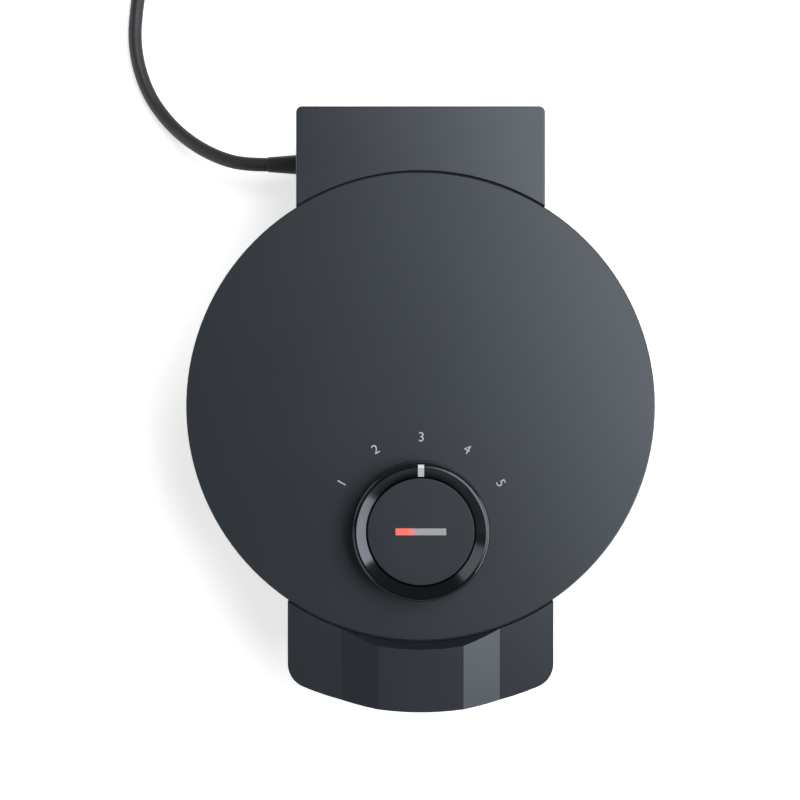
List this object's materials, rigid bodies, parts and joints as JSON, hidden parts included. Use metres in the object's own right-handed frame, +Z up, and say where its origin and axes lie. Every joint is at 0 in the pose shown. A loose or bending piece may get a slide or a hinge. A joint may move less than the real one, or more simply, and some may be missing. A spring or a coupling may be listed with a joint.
{
  "type": "heart waffle iron",
  "caption": "Round countertop waffle iron with a hinged lid, heart-shaped cooking plates, front handles and a heat dial on the lid.",
  "frame": {"origin": "on the table, under the middle of the iron's own outline without its cord", "axes": "+Z up, +Y towards the hinge block, -Y towards the handles, +X to the right for a person at the handles"},
  "size_m": [0.2819, 0.5288, 0.099],
  "materials": {
    "housing": "fine satin texture",
    "housing_under": "fine moulded grain",
    "zinc_steel": "zinc plated",
    "foot_rubber": "matt",
    "nonstick_plate": "cast, non-stick coated",
    "element_steel": "oxidised",
    "shield_sheet": "aluminised sheet",
    "pin_steel": "turned",
    "pin_nickel": "nickel plated",
    "cord_pvc": "satin",
    "plug_pvc": "moulded",
    "tie_pvc": "moulded",
    "terminal_nylon": "moulded",
    "lead_silicone": "matt",
    "lid_lacquer": "satin lacquer",
    "ceramic": "glazed ceramic",
    "cap_plastic": "satin",
    "light_guide": "translucent",
    "board_laminate": "laminate",
    "dial_gloss": "polished",
    "pointer_white": "printed"
  },
  "bodies": {
    "base": {"base_shell": "housing", "bottom_cover": "housing_under", "cover_screws": "zinc_steel", "rubber_feet": "foot_rubber", "lower_handle_cover": "housing_under", "lower_plate": "nonstick_plate", "lower_element": "element_steel", "lower_heat_shield": "shield_sheet", "lower_plate_screws": "zinc_steel", "hinge_pin": "pin_steel", "strain_relief": "cord_pvc", "cord_tail": "cord_pvc", "cord_clamp": "zinc_steel", "terminal_block": "terminal_nylon", "base_leads": "lead_silicone", "lead_sleeve": "lead_silicone", "cord": "cord_pvc", "cord_coil": "cord_pvc", "cord_tie": "tie_pvc", "plug": "plug_pvc", "plug_pins": "pin_nickel"},
    "lid": {"lid_shell": "housing", "lid_disc": "lid_lacquer", "lid_liner": "housing_under", "liner_screws": "zinc_steel", "upper_handle_cover": "housing_under", "upper_plate": "nonstick_plate", "upper_element": "element_steel", "upper_heat_shield": "shield_sheet", "upper_plate_screws": "zinc_steel", "thermostat": "ceramic", "thermostat_bracket": "shield_sheet", "bracket_screws": "zinc_steel", "thermal_fuse": "ceramic", "lid_leads": "lead_silicone", "dial_cap": "cap_plastic", "cap_screws": "zinc_steel", "light_bar": "light_guide", "indicator_board": "board_laminate"},
    "dial": {"dial_ring": "dial_gloss", "dial_pointer": "pointer_white", "dial_spindle": "pin_steel"}
  },
  "joints": [
    {"name": "lid_hinge", "type": "hinge", "parent": "base", "child": "lid", "pos_m": [0, 0.14395, 0.046], "axis": [-1, 0, 0], "range_deg": [0, 95]},
    {"name": "dial_turn", "type": "hinge", "parent": "lid", "child": "dial", "pos_m": [0, -0.06075, 0.09], "axis": [0, 0, 1], "range_deg": [-60, 60]}
  ]
}
